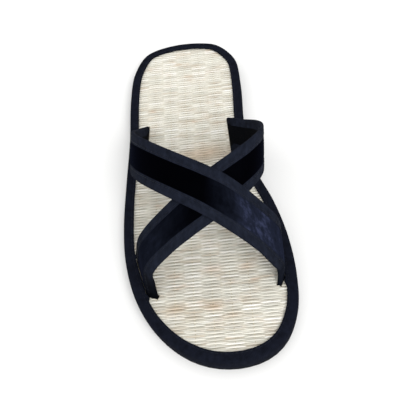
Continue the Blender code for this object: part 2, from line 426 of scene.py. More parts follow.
# %% [markdown]
# ## The rush mat
# The insole is cut from a mat that is woven on a loom: straws of rush lie across, and cotton warps run
# along, about 10 mm apart. Each straw goes over one warp and under the next, and its neighbours do the
# opposite, so the raised floats stand like bricks. Beaten tight, a straw spreads where it is on top and
# hides the ones below. A texture can't catch light on each float, so the straws are real tubes here.
# The weave follows a rule, so Geometry Nodes lay it: a line of points, one straw on each, as long as
# the insole is wide there, and one formula for rise and width.


# %% Running a Geometry Nodes tree
def new_tree(name, inputs):
    """Starts a Geometry Nodes tree with named inputs, and gives it with their sockets by name."""
    tree = bpy.data.node_groups.new(name, "GeometryNodeTree")
    for label, kind in inputs:
        tree.interface.new_socket(label, in_out="INPUT", socket_type="NodeSocket" + kind)
    tree.interface.new_socket("Geometry", in_out="OUTPUT", socket_type="NodeSocketGeometry")
    return tree, {socket.name: socket for socket in tree.nodes.new("NodeGroupInput").outputs}


def finish_tree(tree, geometry, material):
    """Ends a tree with realized instances and their material."""
    real = add_node(tree, "GeometryNodeRealizeInstances", {"Geometry": geometry})
    painted = add_node(tree, "GeometryNodeSetMaterial", {"Geometry": real, "Material": material})
    add_node(tree, "NodeGroupOutput", {"Geometry": painted})


def work_out(tree, known, formulas):
    """Adds one arithmetic node per formula: its result, operation, and up to three names or numbers."""
    for result, operation, *parts in formulas:
        inputs = {place: known.get(part, part) for place, part in enumerate(parts)}
        known[result] = add_node(tree, "ShaderNodeMath", {"operation": operation, **inputs})


def grow(name, tree, values, start=None):
    """Runs a tree on a start mesh and gives its result as a plain mesh."""
    carrier = show(name + "_start", start or bpy.data.meshes.new(name + "_start"))
    modifier = carrier.modifiers.new("weave", "NODES")
    modifier.node_group = tree
    for item in tree.interface.items_tree:
        if item.in_out == "INPUT" and item.name in values:
            modifier[item.identifier] = values[item.name]
    mesh = finished_mesh(carrier)
    mesh.name = name
    carrier.modifiers.remove(modifier)
    bpy.data.objects.remove(carrier)
    return mesh


# %% Sizes of the weave
STRAW_PITCH = 0.00100
STRAW_WIDTH = 0.42 * STRAW_PITCH
STRAW_SPREAD = 0.42
STRAW_HEIGHT = 0.00100
STRAW_WOBBLE = 0.00035
FLOAT_RISE = 0.00020
WARP_SPACING = 0.0104
WARP_SIZE = 0.0004
WARP_RISE = -0.00015
WARP_WOBBLE = 0.0002
WEAVE_SHIFT = 0.0044
WEAVE_TURN = math.radians(-4.5)
WEAVE_LEVEL = MAT_TOP - 0.00078
MAT_INSET = BINDING_WALL + CLEARANCE
LEAST_SWELL = 0.7
MOST_SWELL = 1.3
CHANCES_PER_METRE = 95.0
CHANCE_STEP = 3.7
MOST_COLUMNS = 64.0
WARPS_A_SIDE = 6
WALL_HEIGHT = 0.01

# %% The edge of the insole as a wall that stops the straws
wall_mesh = bpy.data.meshes.new("mat_edge_wall")
wall_faces = []
for index in range(OUTLINE_STEPS):
    after = (index + 1) % OUTLINE_STEPS
    wall_faces.append((index, after, OUTLINE_STEPS + after, OUTLINE_STEPS + index))
wall_points = inset_ring(MAT_INSET, -WALL_HEIGHT) + inset_ring(MAT_INSET, WALL_HEIGHT)
wall_mesh.from_pydata(wall_points, [], wall_faces)
wall = show("mat_edge_wall", wall_mesh)

# %% [markdown]
# One tree lays both straws and warps, because a warp is only a thinner strand, turned by a right angle,
# that crosses straws instead of warps. Two rays from each point find the edge wall left and right, and
# give the strand its reach. Then each strand becomes a tube whose rise is the cosine of its place
# between crossings, and whose breadth grows with the rise.


# %% Strands between the walls
def strands_in_wall(tree, give):
    """Lays a straight strand along X on each point of a line, from wall to wall, and numbers them."""
    known = {"reach": give["Reach"], "pitch": give["Strand Pitch"], "turn": give["Turn"]}
    work_out(tree, known, (("count", "DIVIDE", "reach", "pitch"), ("low", "MULTIPLY", "reach", -0.5),
                           ("back", "MULTIPLY", "turn", -1.0)))
    start = add_node(tree, "ShaderNodeCombineXYZ", {"Y": known["low"]})
    step = add_node(tree, "ShaderNodeCombineXYZ", {"Y": known["pitch"]})
    line = add_node(tree, "GeometryNodeMeshLine", {
        "Count": known["count"], "Start Location": start, "Offset": step})
    row = add_node(tree, "GeometryNodeInputIndex")
    numbered = add_node(tree, "GeometryNodeStoreNamedAttribute", {
        "data_type": "FLOAT", "Name": "row", "Geometry": line, "Value": row})
    turn_back = add_node(tree, "ShaderNodeCombineXYZ", {"Z": known["back"]})
    wall_info = add_node(tree, "GeometryNodeObjectInfo", {"Object": give["Wall"]})
    wall_here = add_node(tree, "GeometryNodeTransform", {
        "Geometry": wall_info.outputs["Geometry"], "Rotation": turn_back})
    for name, direction in (("left", -1.0), ("right", 1.0)):
        ray = add_node(tree, "GeometryNodeRaycast", {
            "Ray Direction": (direction, 0.0, 0.0), "Ray Length": 1.0, "Target Geometry": wall_here})
        facing = add_node(tree, "ShaderNodeSeparateXYZ", {0: ray.outputs["Hit Normal"]})
        known[name] = ray.outputs["Hit Distance"]
        known[name + "_face"] = facing.outputs["X"]
    work_out(tree, known, (
        ("left_inside", "LESS_THAN", "left_face", 0.0), ("right_inside", "GREATER_THAN", "right_face", 0.0),
        ("both", "MULTIPLY", "left_inside", "right_inside"), ("miss", "SUBTRACT", 1.0, "both"),
        ("span", "ADD", "left", "right"), ("to_left", "MULTIPLY", "left", -1.0)))
    inside = add_node(tree, "GeometryNodeDeleteGeometry", {
        "domain": "POINT", "Geometry": numbered, "Selection": known["miss"]})
    spanned = add_node(tree, "GeometryNodeStoreNamedAttribute", {
        "data_type": "FLOAT", "Name": "span", "Geometry": inside, "Value": known["span"]})
    left_way = add_node(tree, "ShaderNodeCombineXYZ", {"X": known["to_left"]})
    moved = add_node(tree, "GeometryNodeSetPosition", {"Geometry": spanned, "Offset": left_way})
    own_span = add_node(tree, "GeometryNodeInputNamedAttribute", {"data_type": "FLOAT", "Name": "span"})
    stretch = add_node(tree, "ShaderNodeCombineXYZ", {"X": own_span, "Y": 1.0, "Z": 1.0})
    strand = add_node(tree, "GeometryNodeCurvePrimitiveLine", {"End": (1.0, 0.0, 0.0)})
    fine = add_node(tree, "GeometryNodeResampleCurve", {"Curve": strand, "Count": give["Steps"]})
    laid = add_node(tree, "GeometryNodeInstanceOnPoints", {
        "Points": moved, "Instance": fine, "Scale": stretch})
    return add_node(tree, "GeometryNodeRealizeInstances", {"Geometry": laid})


# %% Over and under
def build_weave_tree():
    """Makes tubes of the strands, waves them over and under, and gives each float a tone of its own."""
    tree, give = new_tree("rush_weave", (
        ("Wall", "Object"), ("Turn", "Float"), ("Reach", "Float"), ("Strand Pitch", "Float"),
        ("Crossing Spacing", "Float"), ("Shift", "Float"), ("Strand Width", "Float"), ("Spread", "Float"),
        ("Height", "Float"), ("Rise", "Float"), ("Level", "Float"), ("Wobble", "Float"), ("Steps", "Int"),
        ("Sides", "Int"), ("Seed", "Int"), ("Material", "Material")))
    place = add_node(tree, "GeometryNodeInputPosition")
    centred = add_node(tree, "GeometryNodeStoreNamedAttribute", {
        "data_type": "FLOAT_VECTOR", "Name": "centre", "Geometry": strands_in_wall(tree, give),
        "Value": place})
    ring = add_node(tree, "GeometryNodeCurvePrimitiveCircle", {"Radius": 1.0, "Resolution": give["Sides"]})
    tube = add_node(tree, "GeometryNodeCurveToMesh", {
        "Fill Caps": True, "Curve": centred, "Profile Curve": ring})
    centre = add_node(tree, "GeometryNodeInputNamedAttribute", {
        "data_type": "FLOAT_VECTOR", "Name": "centre"})
    own_row = add_node(tree, "GeometryNodeInputNamedAttribute", {"data_type": "FLOAT", "Name": "row"})
    middle = add_node(tree, "ShaderNodeSeparateXYZ", {0: centre})
    off = add_node(tree, "ShaderNodeVectorMath", {"operation": "SUBTRACT", 0: place, 1: centre})
    away = add_node(tree, "ShaderNodeSeparateXYZ", {0: off})
    known = {label.lower().replace(" ", "_"): socket for label, socket in give.items() if label}
    known.update({"row": own_row, "x": middle.outputs["X"], "y": middle.outputs["Y"],
                  "side_way": away.outputs["Y"], "up_way": away.outputs["Z"]})
    work_out(tree, known, (
        ("shifted", "ADD", "x", "shift"),
        ("column", "DIVIDE", "shifted", "crossing_spacing"),
        ("crossing", "ADD", "column", "row"),
        ("phase", "MULTIPLY", "crossing", math.pi),
        ("over", "COSINE", "phase"),
        ("lift", "MULTIPLY_ADD", "over", 0.5, 0.5),
        ("look_x", "MULTIPLY", "x", CHANCES_PER_METRE),
        ("look_y", "MULTIPLY", "row", CHANCE_STEP),
    ))
    look = add_node(tree, "ShaderNodeCombineXYZ", {
        "X": known["look_x"], "Y": known["look_y"], "Z": give["Seed"]})
    chance = add_node(tree, "ShaderNodeTexNoise", {"Scale": 1.0, "Detail": 2.0, "Vector": look})
    parts = add_node(tree, "ShaderNodeSeparateXYZ", {0: chance.outputs["Color"]})
    known.update({"chance_a": parts.outputs[0], "chance_b": parts.outputs[1], "chance_c": parts.outputs[2]})
    work_out(tree, known, (
        ("lean", "SUBTRACT", "chance_a", 0.5),
        ("swell", "MULTIPLY_ADD", "chance_b", MOST_SWELL - LEAST_SWELL, LEAST_SWELL),
        ("widen", "MULTIPLY_ADD", "lift", "spread", 1.0),
        ("swollen", "MULTIPLY", "widen", "swell"),
        ("breadth", "MULTIPLY", "swollen", "strand_width"),
        ("side", "MULTIPLY_ADD", "side_way", "breadth", "y"),
        ("new_y", "MULTIPLY_ADD", "lean", "wobble", "side"),
        ("base", "MULTIPLY_ADD", "over", "rise", "level"),
        ("hop", "SUBTRACT", "chance_c", 0.5),
        ("risen", "MULTIPLY_ADD", "hop", "rise", "base"),
        ("half_height", "MULTIPLY", "height", 0.5),
        ("new_z", "MULTIPLY_ADD", "up_way", "half_height", "risen"),
        ("nearest", "ROUND", "column"),
        ("number", "MULTIPLY_ADD", "row", MOST_COLUMNS, "nearest"),
    ))
    target = add_node(tree, "ShaderNodeCombineXYZ", {
        "X": known["x"], "Y": known["new_y"], "Z": known["new_z"]})
    result = add_node(tree, "GeometryNodeSetPosition", {"Geometry": tube, "Position": target})
    tone = add_node(tree, "FunctionNodeRandomValue", {
        "data_type": "FLOAT", "ID": known["number"], "Seed": give["Seed"]})
    for name, value in (("tone", tone.outputs["Value"]), ("lift", known["lift"])):
        result = add_node(tree, "GeometryNodeStoreNamedAttribute", {
            "data_type": "FLOAT", "Name": name, "Geometry": result, "Value": value})
    for name in ("centre", "span", "row"):
        result = add_node(tree, "GeometryNodeRemoveAttribute", {"Name": name, "Geometry": result})
    smooth = add_node(tree, "GeometryNodeSetShadeSmooth", {"Geometry": result})
    turn = add_node(tree, "ShaderNodeCombineXYZ", {"Z": give["Turn"]})
    turned = add_node(tree, "GeometryNodeTransform", {"Geometry": smooth, "Rotation": turn})
    finish_tree(tree, turned, give["Material"])
    return tree


weave_tree = build_weave_tree()
print("the weave tree has", len(weave_tree.nodes), "nodes")

# %% [markdown]
# ### Dried rush
# Rush is a reed that is dried and often clay-dyed: cream with a satin skin and fine ribs along each
# straw. Every float takes its tone from a random number of its own. Wide patches are a little pinker, a
# stretched noise draws the ribs, and painted shade darkens a straw where it dives under its neighbours,
# which shows the columns of the weave. Where the plant was bruised it bears stains, and a table below
# places them, with one wide patch behind the strap crossing that is partly real staining and partly painted
# shadow.

# %% The finish of the rush
# Columns: what drives the layer, how strongly it multiplies the colour under it, its stops
RUSH_LAYERS = (
    ("cloud", 0.80, ((0.25, "#e8d2c2"), (0.34, "#f4ece3"), (0.46, "#fbf9f5"), (0.64, "#fdfdfa"),
                     (0.76, "#f6f6f0"))),
    ("fibre", 0.42, ((0.32, "#d2ccbf"), (0.50, "#f4f2ec"), (0.68, "#ffffff"))),
    # The lift layer is painted shade: it darkens a straw where it dives under its neighbours.
    ("lift", 0.30, ((0.10, "#8d8779"), (0.45, "#cdc9bf"), (0.64, "#ffffff"))),
)

rush, tree, shader = new_material("dried_rush", "#dfd6bc", 0.55, {"Specular IOR Level": 0.35})
drivers = {}
for name in ("tone", "lift", "stain_and_shadow"):
    drivers[name] = add_node(tree, "ShaderNodeAttribute", {"attribute_name": name}).outputs["Fac"]
place = add_node(tree, "ShaderNodeTexCoord")
for name, scale in (("fibre", (70.0, 2400.0, 900.0)), ("cloud", (70.0, 160.0, 100.0))):
    along = add_node(tree, "ShaderNodeMapping", {
        "Rotation": (0.0, 0.0, -WEAVE_TURN), "Scale": scale, "Vector": place.outputs["Object"]})
    drivers[name] = add_node(tree, "ShaderNodeTexNoise", {
        "Scale": 1.0, "Detail": 3.0, "Roughness": 0.6, "Vector": along}).outputs["Fac"]
surface = fill_ramp(add_node(tree, "ShaderNodeValToRGB", {"Fac": drivers["tone"]}), (
    (0.00, "#d6cfc2"), (0.05, "#dad6cc"), (0.20, "#dbdad3"), (0.40, "#e7e5dd"), (0.65, "#edece5"),
    (0.85, "#f3f2ed"), (1.00, "#f9f8f6")))
for driver, strength, stops in RUSH_LAYERS:
    layer = fill_ramp(add_node(tree, "ShaderNodeValToRGB", {"Fac": drivers[driver]}), stops)
    mixed = add_node(tree, "ShaderNodeMix", {**MULTIPLY, 0: strength, 6: surface, 7: layer})
    surface = mixed.outputs[2]
# Staining, and the painted shadow behind the strap crossing, multiply the colour of the rush.
stained_and_shaded = add_node(tree, "ShaderNodeMix", {
    **MULTIPLY, 0: drivers["stain_and_shadow"], 6: surface, 7: colour("#e4c6a8")})
rub = add_node(tree, "ShaderNodeBump", {"Strength": 0.5, "Distance": 0.0002, "Height": drivers["fibre"]})
feed(tree, shader, {"Base Color": stained_and_shaded.outputs[2], "Normal": rub})

thread = speckled_material("waxed_warp_cotton", "#b7ab90", roughness=0.8, shine=0.2, scale=1800.0,
                           detail=2.0, stops=((0.3, "#8f8467"), (0.7, "#c9bfa6")))[0]

# %% Weaving the mat
straw_mesh = grow("rush_straws", weave_tree, {
    "Wall": wall, "Turn": WEAVE_TURN, "Reach": LENGTH, "Strand Pitch": STRAW_PITCH,
    "Crossing Spacing": WARP_SPACING, "Shift": WEAVE_SHIFT, "Strand Width": STRAW_WIDTH,
    "Spread": STRAW_SPREAD, "Height": STRAW_HEIGHT, "Rise": FLOAT_RISE, "Level": WEAVE_LEVEL,
    "Wobble": STRAW_WOBBLE, "Steps": 68, "Sides": 6, "Seed": 7, "Material": rush})
print("straws:", len(straw_mesh.vertices), "points")
warp_mesh = grow("warp_threads", weave_tree, {
    "Wall": wall, "Turn": WEAVE_TURN + math.radians(90), "Strand Pitch": WARP_SPACING,
    "Reach": 2 * (WARPS_A_SIDE * WARP_SPACING - WEAVE_SHIFT), "Crossing Spacing": STRAW_PITCH,
    "Shift": LENGTH / 2, "Strand Width": WARP_SIZE, "Spread": 0.0, "Height": WARP_SIZE, "Rise": WARP_RISE,
    "Level": WEAVE_LEVEL, "Wobble": WARP_WOBBLE, "Steps": 420, "Sides": 4, "Seed": 3, "Material": thread})
print("warps:", len(warp_mesh.vertices), "points")
bpy.data.objects.remove(wall)

# %% [markdown]
# ### Slots for the straps
# The straps go down through four slots in the mat. Their front ends are folded: the tape at the front
# edge is turned in towards the foot, so a front slot has a bend in it. The same function that places the
# points of a strap makes the slots, a little wider.


# %% The straps' runs, which the slots follow too
def strap_places(table):
    """Turns a strap's table into the places of its middle and its ways from front edge to rear edge."""
    middles = []
    ways = []
    for across, share, rise, side, back, up, turn in table:
        height = MAT_TOP + STRAP_COLLAR + rise * (INSTEP_HEIGHT - STRAP_COLLAR)
        middles.append(Vector((across * BALL_WIDTH + LAYOUT_SHIFT, LENGTH * (0.5 - share), height)))
        ways.append(Vector((side, back, up)) * STRAP_WIDTH)
    return middles, ways


def outward_side(table, ahead, way):
    """Gives the direction of a strap's outer face, the one that shows when the slipper is on."""
    facing = 1 if table[0][0] < table[-1][0] else -1
    return ahead.cross(way).normalized() * facing


def folded_point(middle, way, outward, turn, fold, place, height):
    """Places one point of a strap's section, whose part in front of the fold is turned towards the foot."""
    lengthwise = way.normalized()
    start = middle + way * (fold - 0.5)
    reach = way.length * (place - fold)
    if abs(reach) < CLEARANCE / 100:
        return start - lengthwise * (height * math.tan(turn / 2)) + outward * height
    angle = turn if reach < 0 else 0.0
    forward = reach * math.cos(angle) - height * math.sin(angle)
    raised = reach * math.sin(angle) + height * math.cos(angle)
    return start + lengthwise * forward + outward * raised


def strap_ends(numbers):
    """Gives the section of both straps where they enter the mat: number 0 at the rear, -1 at the front."""
    for table in (OVER_STRAP, UNDER_STRAP):
        middles, ways = strap_places(table)
        for number in numbers:
            ahead = Vector((0.0, 0.0, 1.0 if number == 0 else -1.0))
            outward = outward_side(table, ahead, ways[number])
            turn = math.radians(table[number][6])
            yield middles[number], ways[number], outward, turn, TAPE_WIDTH / ways[number].length


# %% The four slots in the mat
HALF_PANEL = PANEL_THICKNESS / 2
SLOT_ROOM = CLEARANCE * 0.7
SLOT_LEVELS = (MAT_TOP - ROOT_DEPTH - 0.001, MAT_TOP + 0.002)


def slot_boxes():
    """Makes the room for the four strap ends as one mesh of closed boxes."""
    points = []
    faces = []
    half_wall = HALF_PANEL + TAPE_STEP + SLOT_ROOM
    for middle, way, outward, turn, fold in strap_ends((0, -1)):
        spare = SLOT_ROOM / way.length
        places = (-spare, fold, 1 + spare)
        corners = [(place, half_wall) for place in places] + [(place, -half_wall) for place in places[::-1]]
        first = len(points)
        for level in SLOT_LEVELS:
            for corner in corners:
                point = folded_point(middle, way, outward, turn, fold, *corner)
                points.append(Vector((point.x, point.y, level)))
        count = len(corners)
        box_faces = [list(range(count))[::-1], list(range(count, 2 * count))]
        for index in range(count):
            after = (index + 1) % count
            box_faces.append([index, after, count + after, count + index])
        way_in = -1 if way.cross(outward).z > 0 else 1
        faces += [[first + corner for corner in box_face[::way_in]] for box_face in box_faces]
    mesh = bpy.data.meshes.new("slot_boxes")
    mesh.from_pydata(points, [], faces)
    if signed_volume(mesh) < 0:
        mesh.flip_normals()
    return mesh


def carve(mesh, tool_mesh):
    """Cuts the tool's room out of a mesh and gives the result."""
    piece = show("carved", mesh)
    tool = show("tool", tool_mesh)
    modifier = piece.modifiers.new("slots", "BOOLEAN")
    modifier.operation = "DIFFERENCE"
    modifier.solver = "MANIFOLD"
    modifier.object = tool
    result = finished_mesh(piece)
    for thing in (piece, tool):
        bpy.data.objects.remove(thing)
    return result


# %% Stains of the plant and of wear, and one painted shadow behind the strap crossing, by place
# Columns: place towards the big-toe side and the heel, reach sideways and lengthwise in metres, strength
STAINS_AND_PAINTED_SHADOW = (
    (-0.0010, -0.0920, 0.0058, 0.0032, 0.60),
    (-0.0215, -0.0900, 0.0066, 0.0034, 0.55),
    (0.0013, -0.0695, 0.0058, 0.0030, 0.42),
    (0.0213, -0.0710, 0.0052, 0.0028, 0.35),
    (0.0085, -0.0990, 0.0052, 0.0026, 0.30),
    (-0.0125, -0.0965, 0.0060, 0.0030, 0.25),
    # This wide patch behind the strap crossing is partly real staining and partly painted shadow of the
    # straps.
    (0.0085, 0.0165, 0.0170, 0.0070, 0.55),
)
PATCH_END = 4.0


def stain_and_shade_straws(mesh):
    """Writes on every point of the straws its staining, and the painted shadow behind the strap crossing."""
    attribute = mesh.attributes.new("stain_and_shadow", "FLOAT", "POINT")
    shades = []
    for vertex in mesh.vertices:
        shade = 0.0
        for across, back, side_reach, long_reach, strength in STAINS_AND_PAINTED_SHADOW:
            far = ((vertex.co.x - across) / side_reach) ** 2 + ((vertex.co.y - back) / long_reach) ** 2
            if far < PATCH_END:
                shade = max(shade, strength * math.exp(-far))
        shades.append(shade)
    attribute.data.foreach_set("value", shades)


slots = slot_boxes()
straw_count = len(straw_mesh.vertices)
straw_mesh = carve(straw_mesh, slots)
warp_mesh = carve(warp_mesh, slots)
print(f"slots cut: {straw_count} points of straw became {len(straw_mesh.vertices)}")
stain_and_shade_straws(straw_mesh)
straw_mesh.name = "rush_straws"
warp_mesh.name = "warp_threads"

# %% The backing under the weave
BACKING_THICKNESS = 0.0004

backing_cloth = speckled_material("unbleached_backing_cloth", "#8d8064", roughness=0.95, shine=0.1,
                                  scale=900.0, detail=2.0, stops=((0.3, "#6f644b"), (0.7, "#9c9075")))[0]
backing_rings = [inset_ring(MAT_INSET, height) for height in (MAT_BOTTOM, MAT_BOTTOM + BACKING_THICKNESS)]
backing_mesh = carve(skin_rings("mat_backing", backing_rings, way_round(backing_rings[0])), slots)
backing = place_piece("mat_backing", backing_mesh, backing_cloth, "mat")
straws = place_piece("rush_straws", straw_mesh, rush, "mat")
warps = place_piece("warp_threads", warp_mesh, thread, "mat")
print(f"backing cloth: {cloth_area(backing) * 10000:.0f} square centimetres")

# %% [markdown]
# ## The binding tape
# A black cloth tape is folded over the edge of mat and core and sewn down. It's one long strip, so the
# mesh is one section carried round the outline, with its own measured UV map for the ribs of the cloth.
# Where a front end of a strap stands at the rim, the tape is drawn in up to the strap.


# %% The finish of the tape
def tape_cloth(name, base, high, rib, with_painted_shade=False):
    """Makes a matt ribbed tape of dark yarn. With painted shade, its colour is multiplied by a value on
    every point.
    """
    material, tree, shader = new_material(name, base, 0.9, {"Specular IOR Level": 0.02})
    place = add_node(tree, "ShaderNodeUVMap", {"uv_map": "cloth"})
    ribs = add_node(tree, "ShaderNodeTexWave", {
        "wave_type": "BANDS", "bands_direction": "X", "Scale": band_scale(rib), "Distortion": 0.6,
        "Detail": 1.0, "Vector": place})
    fuzz = add_node(tree, "ShaderNodeTexNoise", {
        "Scale": 260.0, "Detail": 4.0, "Roughness": 0.65, "Vector": place})
    shade = fill_ramp(add_node(tree, "ShaderNodeValToRGB", {"Fac": fuzz.outputs["Fac"]}), (
        (0.30, base), (0.72, high)))
    # Painted shade: the tape's colour is multiplied by a value on every point, darker towards the strap
    # ends.
    if with_painted_shade:
        painted_shade_value = add_node(tree, "ShaderNodeAttribute", {"attribute_name": "painted_light"})
        shade = add_node(tree, "ShaderNodeMix", {
            **MULTIPLY, 0: 1.0, 6: shade, 7: painted_shade_value.outputs["Color"]}).outputs[2]
    height = add_node(tree, "ShaderNodeMix", {
        "data_type": "FLOAT", 0: 0.35, 2: ribs.outputs["Fac"], 3: fuzz.outputs["Fac"]})
    bump = add_node(tree, "ShaderNodeBump", {"Strength": 0.45, "Distance": 0.0002, "Height": height})
    feed(tree, shader, {"Base Color": shade, "Normal": bump})
    return material


binding_cloth = tape_cloth("black_ribbed_cotton_tape", "#0e1017", "#181b26", 0.0009)
strap_tape_cloth = tape_cloth("blue_black_edge_tape", "#12151d", "#1f232f", 0.0008, with_painted_shade=True)

# %% The section of the binding
RIM_RADIUS = 0.0015
ROUND_STEPS = 5
SEAM_INSET = 0.0049
# Columns: distance in from the edge of the sole, height
SIDE_FACE = (
    (0.0003, BINDING_BOTTOM),
    (0.0, BINDING_BOTTOM + 0.0004),
    (-0.0001, 0.0055),
    (-0.0001, 0.0080),
)
INNER_FACE = (
    (RIM_WIDTH - 0.0001, MAT_TOP + CLEARANCE + 0.0001),
    (RIM_WIDTH - 0.0003, MAT_TOP + CLEARANCE),
    (BINDING_WALL, MAT_TOP + CLEARANCE),
    (BINDING_WALL, BINDING_BOTTOM),
)
# Columns: distance in from the edge of the sole, drop below the top of the rim. The seam lies in a dip.
RIM_FACE = (
    (0.0025, -0.00006),
    (0.0036, -0.00004),
    (0.0045, 0.00005),
    (SEAM_INSET, 0.00016),
    (0.0053, 0.00005),
    (RIM_WIDTH - 0.0004, 0.00004),
    (RIM_WIDTH - 0.0001, 0.0002),
    (RIM_WIDTH, 0.0005),
)


def binding_section():
    """Gives the folded tape's section as pairs of inset and height, from its lower outer edge round."""
    points = list(SIDE_FACE)
    for step in range(ROUND_STEPS + 1):
        turn = math.radians(90) * step / ROUND_STEPS
        points.append((RIM_RADIUS * (1 - math.cos(turn)), RIM_TOP - RIM_RADIUS * (1 - math.sin(turn))))
    return points + [(inset, RIM_TOP - drop) for inset, drop in RIM_FACE] + list(INNER_FACE)


section = binding_section()

# %% Drawing the binding in up to the front ends of the straps
FOOT_STEPS = 40
DRAW_REACH = 0.0032
DRAW_SOFTNESS = 0.0014
MOST_DRAW = 0.0013

feet = []
for middle, way, outward, turn, fold in strap_ends((-1,)):
    for step in range(FOOT_STEPS + 1):
        foot = folded_point(middle, way, outward, turn, fold, step / FOOT_STEPS, HALF_PANEL + TAPE_STEP)
        feet.append(foot.to_2d())
draws = []
for point in inset_ring(RIM_WIDTH, RIM_TOP):
    gap = min((point.to_2d() - foot).length for foot in feet)
    near = max(0.0, min(1.0, (DRAW_REACH - gap) / DRAW_SOFTNESS))
    draws.append(max(0.0, min(gap - CLEARANCE, MOST_DRAW)) * near)
print(f"the binding is drawn in by up to {max(draws) * 1000:.1f} mm at the straps")

# %% Folding the binding over the edge
PUCKER_HEIGHT = 0.00016
PUCKERS = 26
PUCKERS_INWARD = 120
SEAT_START = 0.0015
SEAT_RUN = 0.003
SEAT_LEVEL = MAT_TOP + 0.0006
EASE_WIDTH = 0.00018
EASE_START = 0.004
EASES = 6
EASE_SEED = 3.0

binding_rings = []
for index in range(OUTLINE_STEPS):
    ring = []
    turn = math.tau * index / OUTLINE_STEPS
    ease = noise.noise(Vector((math.cos(turn) * EASES, math.sin(turn) * EASES, EASE_SEED)))
    for inset, height in section:
        seat = max(0.0, min(1.0, (inset - SEAT_START) / SEAT_RUN)) * (height > SEAT_LEVEL)
        pucker = noise.noise(Vector((math.cos(turn) * PUCKERS, math.sin(turn) * PUCKERS,
                                     inset * PUCKERS_INWARD)))
        drawn = draws[index] * (inset / RIM_WIDTH) ** 2
        inward = inset + drawn + ease * EASE_WIDTH * (inset > EASE_START)
        place = outline[index] + inward_ways[index] * inward
        ring.append(Vector((place.x, place.y, height + pucker * PUCKER_HEIGHT * seat)))
    binding_rings.append(ring)
section_run = way_round([Vector(pair) for pair in section])
binding_mesh = skin_rings("tape_binding", binding_rings, section_run, closed_run=True)
binding = place_piece("tape_binding", binding_mesh, binding_cloth, "binding")

# %% [markdown]
# ## Stitches
# A sewing machine lays the same stitch again and again along a line. One small rounded thread is
# put on every step of a line of points, turned along the line.

# %% The finish of the thread and the stitch tree
STITCH_PITCH = 0.0026
STITCH_LENGTH = 0.0021
RIM_THREAD = 0.00036
RIM_SEAM_DROP = 0.00010

sewing_thread = speckled_material("polyester_sewing_thread", "#171a24", roughness=0.6, shine=0.10,
                                  scale=2500.0, detail=1.0, stops=((0.35, "#0e1017"), (0.65, "#1e222d")))[0]


def build_stitch_tree():
    """Puts a stitch on each step of the start mesh's lines."""
    tree, give = new_tree("stitch_row", (("Geometry", "Geometry"), ("Pitch", "Float"), ("Length", "Float"),
                                         ("Thickness", "Float"), ("Material", "Material")))
    line = add_node(tree, "GeometryNodeMeshToCurve", {"Mesh": give["Geometry"]})
    even = add_node(tree, "GeometryNodeResampleCurve", {
        "mode": "LENGTH", "Curve": line, "Length": give["Pitch"]})
    tangent = add_node(tree, "GeometryNodeInputTangent")
    turn = add_node(tree, "FunctionNodeAlignRotationToVector", {"axis": "Z", "Vector": tangent})
    size = add_node(tree, "ShaderNodeCombineXYZ", {
        "X": give["Thickness"], "Y": give["Thickness"], "Z": give["Length"]})
    bead = add_node(tree, "GeometryNodeMeshUVSphere", {"Segments": 8, "Rings": 6, "Radius": 0.5})
    sewn = add_node(tree, "GeometryNodeInstanceOnPoints", {
        "Points": even, "Instance": bead.outputs["Mesh"], "Rotation": turn, "Scale": size})
    smooth = add_node(tree, "GeometryNodeSetShadeSmooth", {"Geometry": sewn})
    finish_tree(tree, smooth, give["Material"])
    return tree


def line_mesh(lines, closed):
    """Makes a mesh of lines only."""
    points = []
    edges = []
    for line in lines:
        first = len(points)
        points += line
        edges += [(first + index, first + index + 1) for index in range(len(line) - 1)]
        if closed:
            edges.append((len(points) - 1, first))
    mesh = bpy.data.meshes.new("seams")
    mesh.from_pydata(points, edges, [])
    return mesh


def sew(name, lines, thickness, node, closed=False):
    """Sews a row of stitches along each line of points."""
    row = grow(name, stitch_tree, {"Pitch": STITCH_PITCH, "Length": STITCH_LENGTH, "Thickness": thickness,
                                   "Material": sewing_thread}, line_mesh(lines, closed))
    return place_piece(name, row, sewing_thread, node)


stitch_tree = build_stitch_tree()
rim_stitches = sew("binding_stitches", [inset_ring(SEAM_INSET, RIM_TOP - RIM_SEAM_DROP)], RIM_THREAD,
                   "binding", closed=True)

# %% [markdown]
# ## The velvet straps
# Each strap is a strip of velvet on a thin filler, lined with cotton, with a folded tape over both long
# edges. Velvet is woven with a standing pile. The pile is so deep that light looks swallowed from one
# side, and from the other side the tips shine. That shine is painted sheen here: a value on every point
# lightens the base colour where the pile catches the light, and a little sheen in the shader lights its
# edge. The edge tapes get painted shade from the same kind of value, darker towards the strap ends.

# %% Velvet and lining
velvet, tree, shader = new_material("black_cotton_velvet", "#05060b", 0.95, {
    "Specular IOR Level": 0.0, "Sheen Weight": 0.06, "Sheen Roughness": 0.35,
    "Sheen Tint": colour("#6a74a0")})
# Painted sheen: a value on every point lightens the velvet's base colour where the pile catches the light.
painted_light = add_node(tree, "ShaderNodeAttribute", {"attribute_name": "painted_light"})
place = add_node(tree, "ShaderNodeUVMap", {"uv_map": "cloth"})
tufts = add_node(tree, "ShaderNodeTexNoise", {
    "Scale": 430.0, "Detail": 4.0, "Roughness": 0.7, "Vector": place})
sheen_mottle = add_node(tree, "ShaderNodeTexNoise", {
    "Scale": 105.0, "Detail": 3.0, "Roughness": 0.6, "Distortion": 0.2, "Vector": place})
tip = add_node(tree, "ShaderNodeTexNoise", {
    "Scale": 1500.0, "Detail": 3.0, "Roughness": 0.7, "Vector": place})
known = {"sheen_mottle": sheen_mottle.outputs["Fac"], "tufts": tufts.outputs["Fac"], "painted_light": painted_light.outputs["Fac"]}
